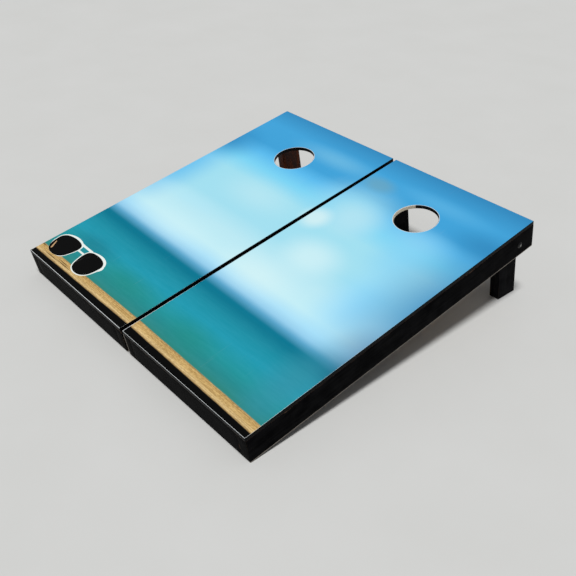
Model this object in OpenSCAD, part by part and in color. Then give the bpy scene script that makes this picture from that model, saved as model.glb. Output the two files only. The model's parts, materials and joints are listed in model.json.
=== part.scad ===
// A pair of bag toss boards that stand side by side.
// Each board is a plywood deck with a round target hole, covered by a printed vinyl
// sheet, on a frame of four rails and a brace. Two legs fold under its raised rear end.
//
// Frame: x runs across the pair, y from the low front edge to the raised rear edge,
// z up. The origin is on the ground, in the middle of the pair.
// A board is drawn flat in its own place first: x across from its middle line, y along
// the slope from its front edge, z up from the underside of its rails.

/* [Board] */
// Width of one board
board_w = 609.6; // [560:1:660]
// Length of one board along its slope
board_l = 1219.2; // [1000:1:1300]
// Height of the deck's top edge above the ground at the rear
rear_h = 304.8; // [280:1:330]
// Gap between the two boards
board_gap = 14; // [12:1:60]

/* [Deck] */
// Thickness of the plywood
deck_t = 12.7; // [12:0.1:19]
// Radius of the target hole
hole_r = 76.2; // [70:0.1:80]
// Distance from the rear edge to the middle of the hole
hole_back = 228.6; // [200:1:260]
// Radius of the deck's corners
corner_r = 2; // [0.5:0.5:6]
// Thickness of the vinyl sheet
vinyl_t = 0.4; // [0.2:0.1:1]
// Distance from the vinyl's edges to the deck's edges
vinyl_inset = 1.2; // [0.5:0.1:4]

/* [Frame] */
// Thickness of the rails, the brace and the legs, apart from the rear rail
lumber_t = 38.1; // [30:0.1:40]
// Thickness of the rear rail, which leaves room for a leg of full width in front of it
rear_t = 25.4; // [24:0.1:38.1]
// Height of the rails and the brace
rail_h = 88.9; // [88.9:0.1:100]
// Radius of the eased long edges of the lumber
eased_r = 2.5; // [0.5:0.5:4]

/* [Legs] */
// Width of a leg
leg_w = 88; // [60:1:88]
// Clearance between a standing leg and the rear rail
leg_clear = 0.5; // [0.4:0.1:1]
// Clearance between a leg and the washers beside it
side_clear = 0.2; // [0.1:0.1:0.5]
// Angle by which the legs are folded forward
leg_fold = 0; // [0:1:90]

/* [Hardware] */
// Diameter of the carriage bolts
bolt_d = 9.525; // [8:0.005:10]
// Length of a carriage bolt under its head
bolt_l = 101.6; // [98:0.1:110]
// Radial clearance of a leg or a wing nut on its bolt
bore_clear = 0.1; // [0.05:0.01:0.1]
// Diameter of the dome of a carriage bolt
dome_d = 20.6; // [18:0.1:24]
// Height of the dome of a carriage bolt
dome_h = 5.2; // [4:0.1:5.5]
// Diameter of the wide washer between a rail and a leg
spacer_d = 38; // [30:1:60]
// Diameter of the washer under a wing nut
washer_d = 25.4; // [20:0.1:30]
// Thickness of every washer
washer_t = 1.6; // [1:0.1:2]
// Distance across the wings of a wing nut
wing_span = 38; // [32:1:44]

/* [Hidden] */
SIDES = [-1, 1];
// outer is the side away from the other board, inner is the side next to it
FLANKS = ["outer", "inner"];
SHARED = [
    "deck_panel", "deck_graphic", "front_rail", "rear_rail", "centre_brace",
    "deck_screws", "pocket_screws"
];
FLANKED = [
    "rail", "leg", "carriage_bolt", "spacer_washer", "flat_washer", "wing_nut"
];
NODES = [
    for (side = SIDES) each concat(
        [for (part = SHARED) str(board_name(side), "_", part)],
        [for (flank = FLANKS, part = FLANKED) str(board_name(side), "_", flank, "_", part)]
    )
];
node = "all";

$fn = 64;
// facets of the larger circles
fine = 128;
// how far a cut runs past a face
eps = 0.1;

// overall shape
board_h = rail_h + deck_t;
tilt = asin(rear_h / norm([board_l, board_h])) - atan(board_h / board_l);
front_y = (board_h * sin(tilt) - board_l * cos(tilt)) / 2;
board_x = (board_w + board_gap) / 2;
hole_y = board_l - hole_back;
cross_l = board_w - 2 * lumber_t;
front_rail_y = lumber_t / 2;
brace_y = board_l / 2;
rear_rail_y = board_l - rear_t / 2;

// leg and its bolt, on the side where x is above 0
leg_r = leg_w / 2;
pivot_y = board_l - rear_t - leg_clear - leg_r;
pivot_z = rail_h / 2;
rail_in_x = board_w / 2 - lumber_t;
leg_out_x = rail_in_x - washer_t - side_clear;
leg_in_x = leg_out_x - lumber_t;
washer_x = leg_in_x - side_clear;
nut_x = washer_x - washer_t;
bolt_r = bolt_d / 2;
bolt_clear = 0.2;
bolt_tip = 1;
dome_r = (pow(dome_d / 2, 2) + pow(dome_h, 2)) / (2 * dome_h);
neck_w = bolt_d;
neck_h = 5.6;

// wing nut
hub_base_d = 17;
hub_top_d = 14;
hub_h = 10.5;
wing_r = 7;
wing_t = 3;
wing_top = 19;
wing_root = 2;
// direction of the line across a wing's round end, where the wing leaves it
wing_chord = -50;
wing_turn = [20, -35];

// deck screws, countersunk flush with the plywood
screw_r = 2.1;
screw_head_r = 4.2;
screw_head_h = 2.4;
screw_l = 31.75;
screw_point = 6;
drive_w = 3.3;
drive_h = 2;
deck_screw_end = 45;
deck_screw_rows = 6;
deck_screw_cross_x = 100;

// pocket screws, two at each end of a cross rail, at an angle to its inside face
pocket_angle = 15;
pocket_r = 4.75;
pocket_depth = 30;
pocket_screw_l = 57.15;
pocket_head_r = 4.5;
pocket_head_h = 2.5;
pocket_z = [rail_h / 4, rail_h * 3 / 4];

function board_name(side) = side < 0 ? "left" : "right";
// x direction of a flank of a board
function flank_x(side, flank) = flank == "outer" ? side : -side;
function wanted(side, part) = node == "all" || node == str(board_name(side), "_", part);

// ---- placement ----

module on_board(side) {
    translate([side * board_x, front_y, 0]) rotate([tilt, 0, 0]) children();
}

// children are drawn for the flank where x is above 0
module on_flank(direction) {
    if (direction < 0) mirror([1, 0, 0]) children();
    else children();
}

// children point along +x from the pivot of the leg
module at_pivot(x = 0) {
    translate([x, pivot_y, pivot_z]) children();
}

module at_deck_screws() {
    step = (board_l - 2 * deck_screw_end) / (deck_screw_rows - 1);
    for (x = SIDES * (board_w - lumber_t) / 2, row = [0:deck_screw_rows - 1])
        translate([x, deck_screw_end + row * step, board_h]) children();
    for (x = SIDES * deck_screw_cross_x, y = [front_rail_y, brace_y, rear_rail_y])
        translate([x, y, board_h]) children();
}

// children run along +x, through the middle of a cross rail's end face, from its open
// face; the rail's middle line is y = 0 and its open face is on the +y side
module at_pocket_screws() {
    for (side = SIDES) on_flank(side)
        for (z = pocket_z)
            translate([cross_l / 2, 0, z]) rotate([0, 0, -pocket_angle]) children();
}

module at_cross_rail(y, open_face) {
    translate([0, y, 0])
        if (open_face < 0) mirror([0, 1, 0]) children();
        else children();
}

// every cross rail's pockets; the rear rail's are on its front face
module at_all_pocket_screws() {
    at_cross_rail(front_rail_y, 1) at_pocket_screws() children();
    at_cross_rail(brace_y, 1) at_pocket_screws() children();
    at_cross_rail(rear_rail_y, -1) at_pocket_screws() children();
}

// ---- shapes ----

module rounded_rect(w, h, r) {
    square([w - 2 * r, h], center = true);
    square([w, h - 2 * r], center = true);
    for (x = SIDES * (w / 2 - r), y = SIDES * (h / 2 - r))
        translate([x, y]) circle(r);
}

// lumber on edge, its length along z, its thickness along x
module lumber(length, width, thick = lumber_t) {
    linear_extrude(length) rounded_rect(thick, width, eased_r);
}

module along_x(length = 0) {
    translate([-length / 2, 0, 0]) rotate([0, 90, 0]) children();
}

module washer(outer_d) {
    along_x() difference() {
        cylinder(h = washer_t, d = outer_d);
        translate([0, 0, -eps]) cylinder(h = washer_t + 2 * eps, r = bolt_r + bolt_clear);
    }
}

// points down from its head at the origin
module deck_screw() {
    shank = screw_l - screw_point - screw_head_h;
    translate([0, 0, -screw_head_h]) cylinder(h = screw_head_h, r1 = screw_r, r2 = screw_head_r);
    translate([0, 0, -screw_head_h - shank]) cylinder(h = shank, r = screw_r);
    translate([0, 0, -screw_l]) cylinder(h = screw_point, r1 = 0, r2 = screw_r);
}

// runs along +x; its head stands on the bottom of its pocket
module pocket_screw() {
    shank = pocket_screw_l - screw_point;
    translate([-pocket_depth, 0, 0]) along_x() {
        translate([0, 0, -pocket_head_h]) cylinder(h = pocket_head_h, r = pocket_head_r);
        cylinder(h = shank, r = screw_r);
        translate([0, 0, shank]) cylinder(h = screw_point, r1 = screw_r, r2 = 0);
    }
}

// the space that a pocket screw and its pocket take out of the wood
module pocket_cut() {
    pocket_l = lumber_t / sin(pocket_angle);
    translate([-pocket_depth - pocket_l, 0, 0]) along_x() cylinder(h = pocket_l, r = pocket_r);
    pocket_screw();
}

// ---- pieces ----

module deck_panel() {
    color("burlywood") difference() {
        translate([0, board_l / 2, rail_h]) linear_extrude(deck_t)
            rounded_rect(board_w, board_l, corner_r);
        translate([0, hole_y, rail_h - eps]) cylinder(h = deck_t + 2 * eps, r = hole_r, $fn = fine);
        at_deck_screws() deck_screw();
    }
}

module deck_graphic() {
    color("steelblue") translate([0, 0, board_h]) difference() {
        translate([0, board_l / 2, 0]) linear_extrude(vinyl_t)
            rounded_rect(board_w - 2 * vinyl_inset, board_l - 2 * vinyl_inset, corner_r);
        translate([0, hole_y, -eps])
            cylinder(h = vinyl_t + 2 * eps, r = hole_r + vinyl_inset, $fn = fine);
    }
}

module cross_rail(y, open_face, thick = lumber_t) {
    color("#151515") difference() {
        at_cross_rail(y, open_face) translate([0, 0, rail_h / 2]) along_x(cross_l)
            rotate([0, 0, 90]) lumber(cross_l, rail_h, thick);
        at_deck_screws() deck_screw();
        at_cross_rail(y, open_face) at_pocket_screws() pocket_cut();
    }
}

module front_rail() {
    cross_rail(front_rail_y, 1);
}

module centre_brace() {
    cross_rail(brace_y, 1);
}

module rear_rail() {
    cross_rail(rear_rail_y, -1, rear_t);
}

module side_rail() {
    color("#111111") difference() {
        translate([rail_in_x + lumber_t / 2, board_l, rail_h / 2]) rotate([90, 0, 0])
            lumber(board_l, rail_h);
        at_deck_screws() deck_screw();
        at_all_pocket_screws() pocket_screw();
        at_pivot(rail_in_x - eps) along_x()
            cylinder(h = lumber_t + 2 * eps, r = bolt_r + bolt_clear);
        at_pivot(board_w / 2 - neck_h / 2) cube([neck_h + eps, neck_w, neck_w], center = true);
    }
}

module deck_screws() {
    color("silver") at_deck_screws() difference() {
        deck_screw();
        translate([0, 0, -drive_h / 2]) cube([drive_w, drive_w, drive_h + eps], center = true);
    }
}

module pocket_screws() {
    color("silver") at_all_pocket_screws() difference() {
        pocket_screw();
        translate([-pocket_depth - pocket_head_h + drive_h / 2, 0, 0])
            cube([drive_h + eps, drive_w, drive_w], center = true);
    }
}

// below the pivot, cut level with the ground at the foot; it is wider than the leg,
// because the blank's own sides bound the leg
module leg_outline() {
    polygon([
        [pivot_y - leg_w, pivot_z],
        [pivot_y + leg_w, pivot_z],
        for (y = [pivot_y + leg_w, pivot_y - leg_w]) [y, -y * tan(tilt)]
    ]);
}

// standing, from the blank that bounds its sides to its round top and level foot
module leg_shape() {
    blank_l = 2 * board_h + rear_h;
    difference() {
        intersection() {
            union() {
                at_pivot(leg_in_x) along_x() cylinder(h = lumber_t, r = leg_r, $fn = fine);
                translate([leg_in_x, 0, 0]) rotate([90, 0, 90])
                    linear_extrude(lumber_t) leg_outline();
            }
            translate([leg_in_x + lumber_t / 2, pivot_y, board_h - blank_l])
                lumber(blank_l, leg_w);
        }
        at_pivot(leg_in_x - eps) along_x()
            cylinder(h = lumber_t + 2 * eps, r = bolt_r + bore_clear);
    }
}

module leg() {
    color("#1a1c1b") at_pivot() rotate([-leg_fold, 0, 0])
        translate([0, -pivot_y, -pivot_z]) leg_shape();
}

module carriage_bolt() {
    shank = bolt_l - bolt_tip;
    color("silver") at_pivot(board_w / 2) {
        along_x() rotate_extrude($fn = fine) intersection() {
            translate([0, dome_h - dome_r]) circle(dome_r);
            square([dome_d / 2, dome_h]);
        }
        translate([-neck_h / 2, 0, 0]) cube([neck_h, neck_w, neck_w], center = true);
        translate([-shank, 0, 0]) along_x() cylinder(h = shank, r = bolt_r);
        translate([-bolt_l, 0, 0]) along_x()
            cylinder(h = bolt_tip, r1 = bolt_r - bolt_tip, r2 = bolt_r);
    }
}

module spacer_washer() {
    color("silver") at_pivot(rail_in_x - washer_t) washer(spacer_d);
}

module flat_washer() {
    color("silver") at_pivot(washer_x - washer_t) washer(washer_d);
}

// half of a wing nut's outline: x out from its axis, y up from its seat
module wing_outline() {
    tip = [wing_span / 2 - wing_r, wing_top - wing_r];
    translate(tip) circle(wing_r);
    polygon([
        [0, wing_root],
        [hub_base_d / 2, wing_root],
        tip + wing_r * [cos(wing_chord), sin(wing_chord)],
        tip - wing_r * [cos(wing_chord), sin(wing_chord)],
        [hub_top_d / 2, hub_h],
        [0, hub_h]
    ]);
}

module wing_nut(angle) {
    color("gainsboro") at_pivot(nut_x) rotate([angle, 0, 0]) rotate([0, -90, 0]) difference() {
        union() {
            cylinder(h = hub_h, d1 = hub_base_d, d2 = hub_top_d);
            for (turn = [0, 180]) rotate([0, 0, turn])
                translate([0, wing_t / 2, 0]) rotate([90, 0, 0])
                    linear_extrude(wing_t) wing_outline();
        }
        translate([0, 0, -eps]) cylinder(h = wing_top + 2 * eps, r = bolt_r + bore_clear);
    }
}

// ---- assembly ----

for (side = SIDES) {
    if (wanted(side, "deck_panel")) on_board(side) deck_panel();
    if (wanted(side, "deck_graphic")) on_board(side) deck_graphic();
    if (wanted(side, "front_rail")) on_board(side) front_rail();
    if (wanted(side, "rear_rail")) on_board(side) rear_rail();
    if (wanted(side, "centre_brace")) on_board(side) centre_brace();
    if (wanted(side, "deck_screws")) on_board(side) deck_screws();
    if (wanted(side, "pocket_screws")) on_board(side) pocket_screws();
    for (i = [0, 1]) {
        flank = FLANKS[i];
        way = flank_x(side, flank);
        if (wanted(side, str(flank, "_rail"))) on_board(side) on_flank(way) side_rail();
        if (wanted(side, str(flank, "_leg"))) on_board(side) on_flank(way) leg();
        if (wanted(side, str(flank, "_carriage_bolt")))
            on_board(side) on_flank(way) carriage_bolt();
        if (wanted(side, str(flank, "_spacer_washer")))
            on_board(side) on_flank(way) spacer_washer();
        if (wanted(side, str(flank, "_flat_washer")))
            on_board(side) on_flank(way) flat_washer();
        if (wanted(side, str(flank, "_wing_nut")))
            on_board(side) on_flank(way) wing_nut(wing_turn[i]);
    }
}
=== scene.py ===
"""Looks for a pair of bag toss boards: painted lumber, birch plywood, a printed vinyl sheet
on each deck and zinc plated hardware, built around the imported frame.

A board's own place has x across from its middle line, y up the slope from its front edge
and z out from the underside of its rails. Its pieces are built there, in metres, and each
object's matrix then stands them up in the row frame.
"""

import json
import math
import random

import bmesh
import bpy
import numpy as np
from mathutils import Matrix, Vector, noise
from mathutils.geometry import delaunay_2d_cdt


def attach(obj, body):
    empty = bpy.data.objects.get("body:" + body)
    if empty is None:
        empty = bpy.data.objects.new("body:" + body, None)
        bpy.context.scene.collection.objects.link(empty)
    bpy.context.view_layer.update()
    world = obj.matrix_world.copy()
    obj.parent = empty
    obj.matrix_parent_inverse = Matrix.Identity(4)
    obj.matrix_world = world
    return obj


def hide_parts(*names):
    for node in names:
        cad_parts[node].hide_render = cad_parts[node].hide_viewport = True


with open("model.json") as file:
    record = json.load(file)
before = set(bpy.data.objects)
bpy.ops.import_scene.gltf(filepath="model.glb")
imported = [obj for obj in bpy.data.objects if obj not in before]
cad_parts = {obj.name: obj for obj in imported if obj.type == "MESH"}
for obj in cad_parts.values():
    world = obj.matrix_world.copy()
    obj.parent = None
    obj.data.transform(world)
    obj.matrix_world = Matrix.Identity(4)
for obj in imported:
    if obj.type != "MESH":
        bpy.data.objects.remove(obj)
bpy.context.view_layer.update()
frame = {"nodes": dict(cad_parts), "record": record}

MM = 0.001
BOARDS = {"left": -1, "right": 1}
FLANKS = ("outer", "inner")
MOUNTS = {mount["name"]: mount for mount in frame["record"]["mounts"]}
DECK_NORMAL = Vector(MOUNTS["left_target_hole"]["axis"]).normalized()
TILT = math.atan2(-DECK_NORMAL.y, DECK_NORMAL.z)
HOLE_R = MOUNTS["left_target_hole"]["dims"]["r_mm"] * MM


# ---- places, from the frame ----

def corners(node, matrix):
    """Lowest and highest corner of a CAD node in the place that matrix leads to."""
    points = [matrix @ vertex.co for vertex in frame["nodes"][node].data.vertices]
    low = Vector(min(p[i] for p in points) for i in range(3))
    high = Vector(max(p[i] for p in points) for i in range(3))
    return low, high


def board_matrix(board):
    """The matrix that stands a board up, from its own place to the row frame."""
    turn = Matrix.Rotation(TILT, 4, "X")
    low, high = corners(f"{board}_deck_panel", turn.inverted())
    rail_low, _ = corners(f"{board}_outer_rail", turn.inverted())
    return turn @ Matrix.Translation(((low.x + high.x) / 2, rail_low.y, rail_low.z))


PLACE = {board: board_matrix(board) for board in BOARDS}


def place_box(board, part):
    """Lowest and highest corner of a board's part, in the board's own place."""
    return corners(f"{board}_{part}", PLACE[board].inverted())


def flank_way(board, flank):
    """Which way along x a flank of a board faces: outer is away from the other board."""
    return BOARDS[board] if flank == "outer" else -BOARDS[board]


# ---- meshes ----

# A length of lumber's two cross axes and then its long one, by which of them is long.
GRAIN_AXES = {"x": "yzx", "y": "xzy", "z": "xyz"}


def arc(centre, radius, start, end, steps):
    """Points on an arc, with angles in degrees."""
    x, y = centre
    angles = [math.radians(start + (end - start) * i / steps) for i in range(steps + 1)]
    return [Vector((x + radius * math.cos(a), y + radius * math.sin(a))) for a in angles]


def circle(centre, radius, steps):
    return arc(centre, radius, 0, 360, steps)[:-1]


def bridge(bm, lower, upper):
    """Adds the wall between two rings of as many vertices."""
    for i in range(len(lower)):
        j = (i + 1) % len(lower)
        bm.faces.new((lower[i], lower[j], upper[j], upper[i]))


def divided(points, spacing):
    """A closed outline with extra points on its long sides."""
    out = []
    for a, b in zip(points, points[1:] + points[:1]):
        count = max(1, round((b - a).length / spacing))
        out += [a.lerp(b, i / count) for i in range(count)]
    return out


def rounded_rectangle(low, high, radius, steps=4):
    """An anticlockwise outline with round corners."""
    left, front = low[0] + radius, low[1] + radius
    right, rear = high[0] - radius, high[1] - radius
    turns = (((left, front), 180), ((right, front), 270), ((right, rear), 0), ((left, rear), 90))
    return [p for centre, start in turns for p in arc(centre, radius, start, start + 90, steps)]


def moved_in(points, distance):
    """A closed anticlockwise outline moved inward, or outward if distance is negative."""
    out = []
    for before, point, after in zip(points[-1:] + points[:-1], points, points[1:] + points[:1]):
        one, two = (point - before).normalized(), (after - point).normalized()
        inward = Vector((-one.y - two.y, one.x + two.x)).normalized()
        out.append(point + inward * distance / max(0.3, inward.dot(Vector((-one.y, one.x)))))
    return out


def inside(points, outline):
    """Which of an array of points lie inside a closed outline."""
    found = np.zeros(len(points), bool)
    x, y = points[:, 0], points[:, 1]
    for a, b in zip(outline, outline[1:] + outline[:1]):
        if a.y != b.y:
            crosses = (a.y > y) != (b.y > y)
            found ^= crosses & (x < (b.x - a.x) * (y - a.y) / (b.y - a.y) + a.x)
    return found


def triangulated(loops, grid=0.0):
    """Points and triangles that fill the first loop outside the loops given after it in
    holes; every loop's sides are sides of triangles. grid adds points inside, that far
    apart, so that a large face can take dents."""
    points, edges = [], []
    for loop in loops:
        first = len(points)
        points += loop
        edges += [(first + i, first + (i + 1) % len(loop)) for i in range(len(loop))]
    if grid:
        points += inner_points(loops, grid)
    found = delaunay_2d_cdt(points, edges, [], 0, 1e-7)
    return found[0], [list(f) for f in found[2]]


def inner_points(loops, grid):
    """Points of a square grid inside the first loop and outside the others."""
    outer = np.array([tuple(p) for p in loops[0]])
    low, high = outer.min(0), outer.max(0)
    steps = np.maximum(1, np.round((high - low) / grid)).astype(int)
    xs = np.linspace(low[0], high[0], steps[0] + 1)[1:-1]
    ys = np.linspace(low[1], high[1], steps[1] + 1)[1:-1]
    spots = np.array([(x, y) for x in xs for y in ys]).reshape(-1, 2)
    keep = inside(spots, moved_in(loops[0], grid / 3))
    for hole in loops[1:]:
        keep &= ~inside(spots, moved_in(hole, -grid / 3))
    return [Vector(p) for p in spots[keep]]


def middle_of(points, faces):
    """The middle of every triangle, as an array."""
    flat = np.array([tuple(p) for p in points])
    return flat[np.array(faces)].mean(1)


def edge_profile(low, high, low_r, high_r, rings=0, steps=4):
    """Insets and levels of a wall that is rounded at both of its edges."""
    turns = [math.pi / 2 * i / steps for i in range(steps + 1)]
    start = [(low_r * (1 - math.sin(t)), low + low_r * (1 - math.cos(t))) for t in turns]
    end = [(high_r * (1 - math.sin(t)), high - high_r * (1 - math.cos(t))) for t in turns[::-1]]
    bottom, top = low + low_r, high - high_r
    return start + [(0.0, bottom + (top - bottom) * (i + 1) / (rings + 1)) for i in range(rings)] + end


def prism(outline, profile, axes="xyz", holes=(), grid=0.0):
    """A bmesh of an anticlockwise outline with holes, extruded along a third axis, its walls
    following profile. axes says which of x, y and z the outline's two and the third are."""
    bm = bmesh.new()
    order = ["xyz".index(a) for a in axes]

    def vertex(point, level):
        place = [0.0, 0.0, 0.0]
        for axis, value in zip(order, (point[0], point[1], level)):
            place[axis] = value
        return bm.verts.new(place)

    walls = [(outline, 1)] + [(hole, -1) for hole in holes]
    rings = [[[vertex(p, level) for p in moved_in(loop, inset * sign)] for inset, level in profile]
             for loop, sign in walls]
    for wall in rings:
        for lower, upper in zip(wall, wall[1:]):
            bridge(bm, lower, upper)
    for end in (0, -1):
        inset, level = profile[end]
        loops = [moved_in(loop, inset * sign) for loop, sign in walls]
        points, faces = triangulated(loops, grid)
        known = [v for wall in rings for v in wall[end]]
        verts = known + [vertex(p, level) for p in points[len(known):]]
        centres = middle_of(points, faces)
        keep = inside(centres, loops[0])
        for hole in loops[1:]:
            keep &= ~inside(centres, hole)
        for face, kept in zip(faces, keep):
            if kept:
                bm.faces.new([verts[i] for i in face])
    bmesh.ops.recalc_face_normals(bm, faces=bm.faces)
    return bm


def lathe(profile, steps=48):
    """A bmesh of a closed or axis-to-axis profile of (radius, height) turned about z."""
    bm = bmesh.new()
    rings = []
    for radius, height in profile:
        if radius < 1e-7:
            rings.append([bm.verts.new((0, 0, height))])
        else:
            rings.append([bm.verts.new((*p, height)) for p in circle((0, 0), radius, steps)])
    on_axis = len(rings[0]) == 1
    pairs = list(zip(rings, rings[1:])) + ([] if on_axis else [(rings[-1], rings[0])])
    for lower, upper in pairs:
        for i in range(steps):
            j = (i + 1) % steps
            around = ((lower, i), (lower, j), (upper, j), (upper, i))
            bm.faces.new(list(dict.fromkeys(ring[k % len(ring)] for ring, k in around)))
    bmesh.ops.recalc_face_normals(bm, faces=bm.faces)
    return bm


def dent(bm, seed, wave=0.12 * MM, nick=0.5 * MM, nick_size=9 * MM):
    """Moves a piece's surface inward a little: long shallow waves, and sparse small nicks."""
    shift = Vector((seed * 3.7, seed * 1.3, seed * 5.1))
    bm.normal_update()
    moves = []
    for vertex in bm.verts:
        place = vertex.co + shift
        slow = 0.5 + 0.5 * noise.noise(place * 14)
        sharp = max(0.0, noise.noise(place / nick_size) - 0.42)
        moves.append(vertex.normal * -(wave * slow + nick * sharp))
    for vertex, move in zip(bm.verts, moves):
        vertex.co += move


def new_object(name, data):
    obj = bpy.data.objects.new(name, data)
    bpy.context.scene.collection.objects.link(obj)
    return obj


def modified(obj):
    """A bmesh of an object with its modifiers applied."""
    evaluated = obj.evaluated_get(bpy.context.evaluated_depsgraph_get())
    bm = bmesh.new()
    bm.from_mesh(evaluated.to_mesh())
    evaluated.to_mesh_clear()
    return bm


def piece(board, name, bm, part, materials, body="board", smooth=35):
    """Makes an object of a bmesh in a board's own place, which stands for a CAD node and
    rides on one of the board's bodies."""
    name, node = f"{board}_{name}", f"{board}_{part}"
    mesh = bpy.data.meshes.new(name)
    bm.to_mesh(mesh)
    bm.free()
    obj = new_object(name, mesh)
    for material in materials:
        mesh.materials.append(material)
    mesh.polygons.foreach_set("use_smooth", [True] * len(mesh.polygons))
    mesh.set_sharp_from_angle(angle=math.radians(smooth))
    obj.matrix_world = PLACE[board]
    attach(obj, f"{board}_{body}")
    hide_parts(node)
    return obj


def set_materials(obj, choose):
    """Gives every face the material slot that choose(centre, normal) says."""
    obj.data.polygons.foreach_set(
        "material_index", [choose(face.center, face.normal) for face in obj.data.polygons])


def mark_grain(obj, low, high, along, seed):
    """Attributes that a wood material reads: where a point is from the piece's middle, with
    its length as z, half the piece's size in the same order, and a number of its own."""
    order = ["xyz".index(a) for a in GRAIN_AXES[along]]
    middle, half = (low + high) / 2, (high - low) / 2
    verts = obj.data.vertices
    add_attribute(obj, "grain", [[(v.co - middle)[i] for i in order] for v in verts])
    add_attribute(obj, "half_size", [[half[i] for i in order]] * len(verts))
    add_attribute(obj, "seed", [seed] * len(verts))


def add_attribute(obj, name, values):
    """Gives every vertex a number, or three."""
    values = np.asarray(values, np.float32)
    kind, field = ("FLOAT", "value") if values.ndim == 1 else ("FLOAT_VECTOR", "vector")
    attribute = obj.data.attributes.new(name, kind, "POINT")
    attribute.data.foreach_set(field, values.ravel())


# ---- materials ----

PLY_COUNT = 9
PLY_RELIEF = 0.12 * MM
# How far from a rail's corner its pale line reaches, whole and at most, and how ragged
# that line is: paint scuffed off, and a painted highlight along the corner.
SCUFF_HIGHLIGHT_FULL, SCUFF_HIGHLIGHT_END, SCUFF_HIGHLIGHT_RAGGED = 4.4 * MM, 5.8 * MM, 2.4 * MM


def linear(red, green, blue):
    """A display colour, 0 to 255 a channel, as the linear colour that a shader takes."""
    shares = [c / 255 for c in (red, green, blue)]
    return tuple(c / 12.92 if c <= 0.04045 else ((c + 0.055) / 1.055) ** 2.4 for c in shares) + (1.0,)


def scaled(colour, by):
    """A display colour made darker or paler."""
    return tuple(min(255, v * by) for v in colour)


class Graph:
    """A material's node tree, with a short call for each kind of node used here. Colours are
    display colours, 0 to 255 a channel."""

    def __init__(self, name):
        self.material = bpy.data.materials.new(name)
        self.material.use_nodes = True
        self.tree = self.material.node_tree
        self.shader = self.tree.nodes["Principled BSDF"]

    def node(self, kind, inputs=(), **settings):
        made = self.tree.nodes.new(kind)
        for name, value in settings.items():
            setattr(made, name, value)
        for socket, value in dict(inputs).items():
            self.put(made.inputs[socket], value)
        return made

    def put(self, socket, value):
        if isinstance(value, bpy.types.NodeSocket):
            self.tree.links.new(value, socket)
        else:
            socket.default_value = value

    def attribute(self, name, output="Vector"):
        return self.node("ShaderNodeAttribute", attribute_name=name).outputs[output]

    def math(self, operation, a, b=0.0, c=0.0):
        return self.node("ShaderNodeMath", {0: a, 1: b, 2: c}, operation=operation).outputs[0]

    def plus(self, a, b):
        return self.math("ADD", a, b)

    def minus(self, a, b):
        return self.math("SUBTRACT", a, b)

    def times(self, a, b):
        return self.math("MULTIPLY", a, b)

    def times_plus(self, a, b, c):
        return self.math("MULTIPLY_ADD", a, b, c)

    def vector(self, operation, a, b=(0, 0, 0)):
        made = self.node("ShaderNodeVectorMath", {0: a, 1: b}, operation=operation)
        return made.outputs["Value" if operation in ("LENGTH", "DOT_PRODUCT") else "Vector"]

    def split(self, value):
        return self.node("ShaderNodeSeparateXYZ", {0: value}).outputs[:3]

    def smooth(self, value, low, high, to_low=0.0, to_high=1.0):
        """A smooth step from to_low at low to to_high at high."""
        inputs = {"Value": value, "From Min": low, "From Max": high, "To Min": to_low,
                  "To Max": to_high}
        return self.node("ShaderNodeMapRange", inputs, interpolation_type="SMOOTHSTEP").outputs[0]

    def mix(self, factor, a, b, blend="MIX"):
        made = self.node("ShaderNodeMix", data_type="RGBA", blend_type=blend)
        for socket, value in ((0, factor), (6, a), (7, b)):
            self.put(made.inputs[socket], linear(*value) if isinstance(value, tuple) else value)
        return made.outputs[2]

    def noise(self, place, scale, detail=3.0, roughness=0.55, stretch=(1, 1, 1)):
        if stretch != (1, 1, 1):
            place = self.vector("MULTIPLY", place, stretch)
        inputs = {"Vector": place, "Scale": scale, "Detail": detail, "Roughness": roughness}
        return self.node("ShaderNodeTexNoise", inputs).outputs[0]

    def ramp(self, value, stops):
        made = self.node("ShaderNodeValToRGB", {0: value})
        points = made.color_ramp.elements
        for i, (position, colour) in enumerate(stops):
            point = points[i] if i < 2 else points.new(position)
            point.position, point.color = position, linear(*colour)
        return made.outputs[0]

    def bump(self, height, distance, strength=1.0, normal=None):
        inputs = {"Height": height, "Distance": distance, "Strength": strength}
        made = self.node("ShaderNodeBump", inputs)
        if normal is not None:
            self.put(made.inputs["Normal"], normal)
        return made.outputs[0]

    def finish(self, colour, roughness, normal=None, specular=0.5, metallic=0.0):
        looks = {"Base Color": colour, "Roughness": roughness, "Specular IOR Level": specular,
                 "Metallic": metallic}
        if normal is not None:
            looks["Normal"] = normal
        for name, value in looks.items():
            self.put(self.shader.inputs[name], value)
        return self.material


def wood_place(g):
    """A point's place along the grain, apart for every piece."""
    seed = g.attribute("seed", "Fac")
    apart = g.node("ShaderNodeCombineXYZ", {0: seed, 1: seed, 2: seed}).outputs[0]
    return g.vector("ADD", g.attribute("grain"), g.vector("MULTIPLY", apart, (0.37, 0.61, 1.93)))


def wood_figure(g, place):
    """Growth bands, from 0 to 1, and fine fibres that both run along the lumber."""
    bent = g.noise(place, 9.0, 2.0, stretch=(1, 1, 0.16))
    x, y, _ = g.split(place)
    across = g.plus(g.times(x, 95.0), g.times(y, 38.0))
    wave = g.math("SINE", g.plus(g.times(bent, 42.0), across))
    bands = g.times_plus(wave, 0.5, 0.5)
    fibres = g.noise(place, 700.0, 3.0, 0.65, stretch=(1, 1, 0.035))
    return bands, fibres


def edge_mask(g, near=4 * MM):
    """1 along a piece's edges and 0 on its faces."""
    spots = g.split(g.vector("ABSOLUTE", g.attribute("grain")))
    sizes = g.split(g.attribute("half_size"))
    close = [g.smooth(g.minus(size, spot), near, 0.6 * MM) for spot, size in zip(spots, sizes)]
    pairs = [g.times(close[i], close[j]) for i, j in ((0, 1), (1, 2), (0, 2))]
    return g.math("MAXIMUM", g.math("MAXIMUM", pairs[0], pairs[1]), pairs[2])


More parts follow.
